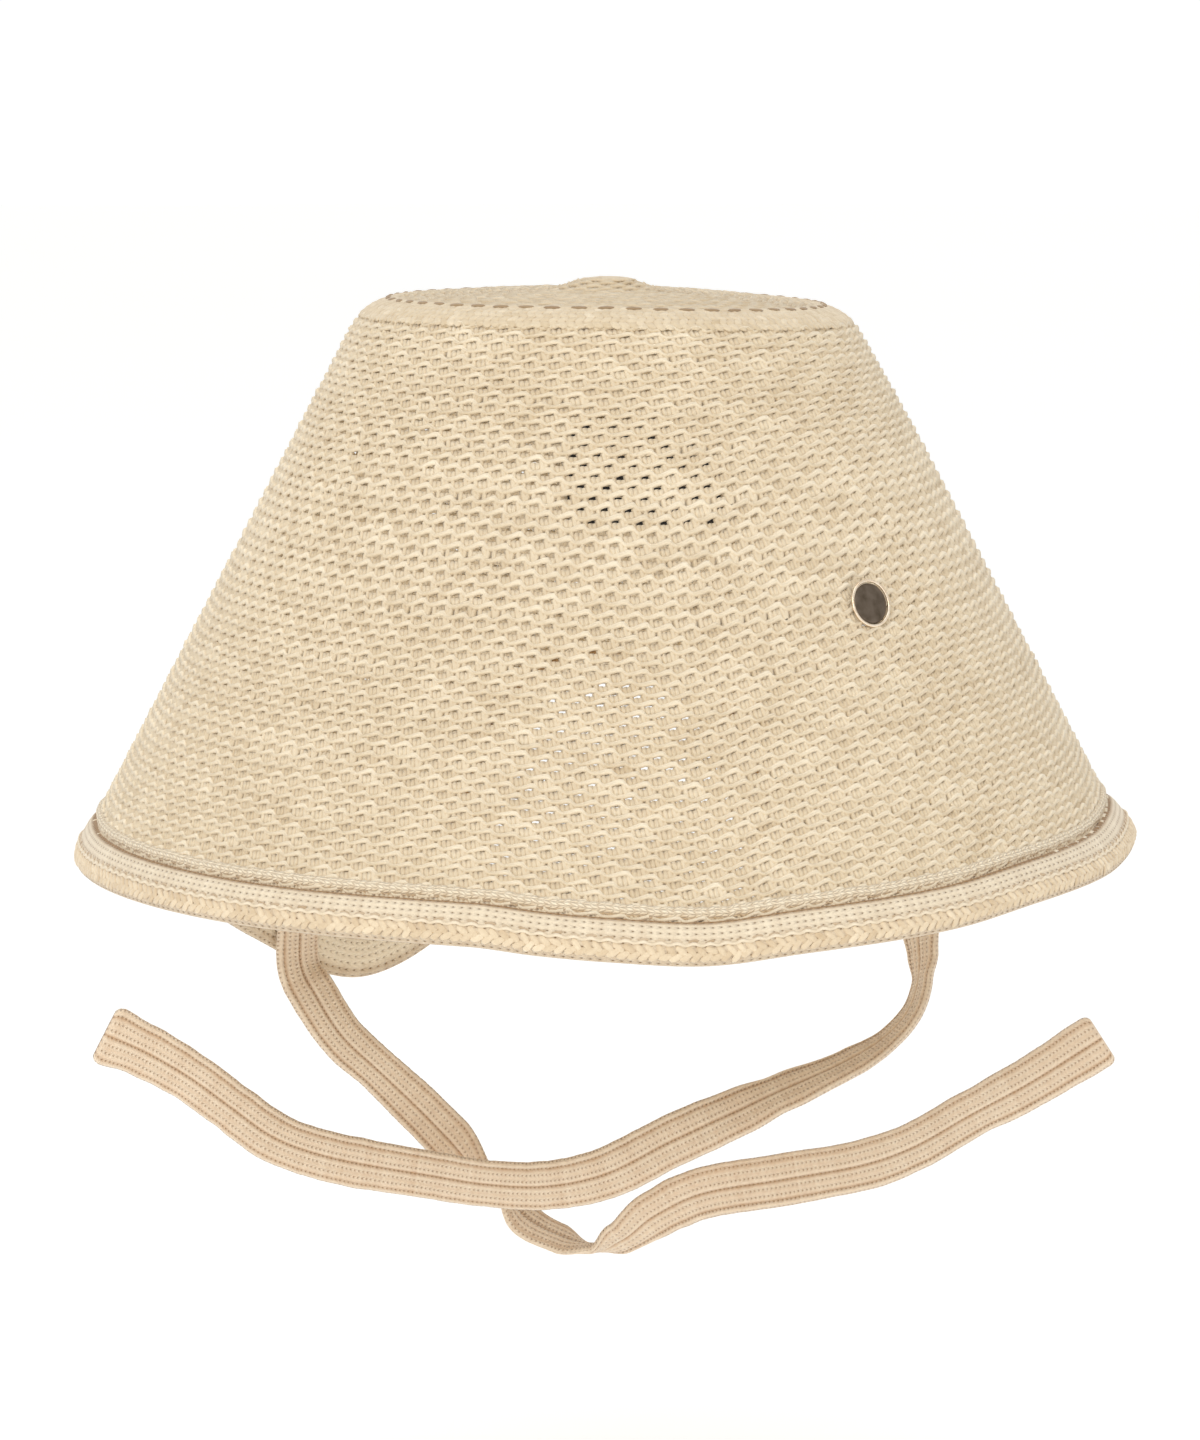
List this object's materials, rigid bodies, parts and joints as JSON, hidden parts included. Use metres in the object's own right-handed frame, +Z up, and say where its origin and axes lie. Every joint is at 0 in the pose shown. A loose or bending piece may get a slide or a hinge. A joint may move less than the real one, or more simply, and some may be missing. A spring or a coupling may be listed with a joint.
{
  "type": "bonnet",
  "caption": "Knitted baby sun bonnet with a flat crown, flared side, folded hem, arched back gap, ribbed ties and a small round badge.",
  "frame": {"origin": "where the head meets the middle of the crown's underside", "axes": "+Z up out of the crown, -Y towards the front of the hat, +X towards the wearer's left, which is the picture's right"},
  "size_m": [0.2877, 0.2772, 0.2818],
  "materials": {
    "body_knit": "matt open knit of thick cream cotton yarn",
    "seam_knit": "matt linked seam of the same yarn",
    "hem_knit": "matt close knit, folded double",
    "rib_knit": "matt ribbed knit",
    "dark_metal": "satin gunmetal",
    "pale_metal": "polished pale rose brass",
    "plain_steel": "satin steel",
    "label_cloth": "plain dark woven tape"
  },
  "bodies": {
    "root": {"knit_body": "body_knit", "seam_ridge": "seam_knit", "hem_band": "hem_knit", "left_tie": "rib_knit", "right_tie": "rib_knit", "badge_face": "dark_metal", "badge_rim": "pale_metal", "badge_back": "plain_steel", "inner_label": "label_cloth"}
  },
  "joints": []
}
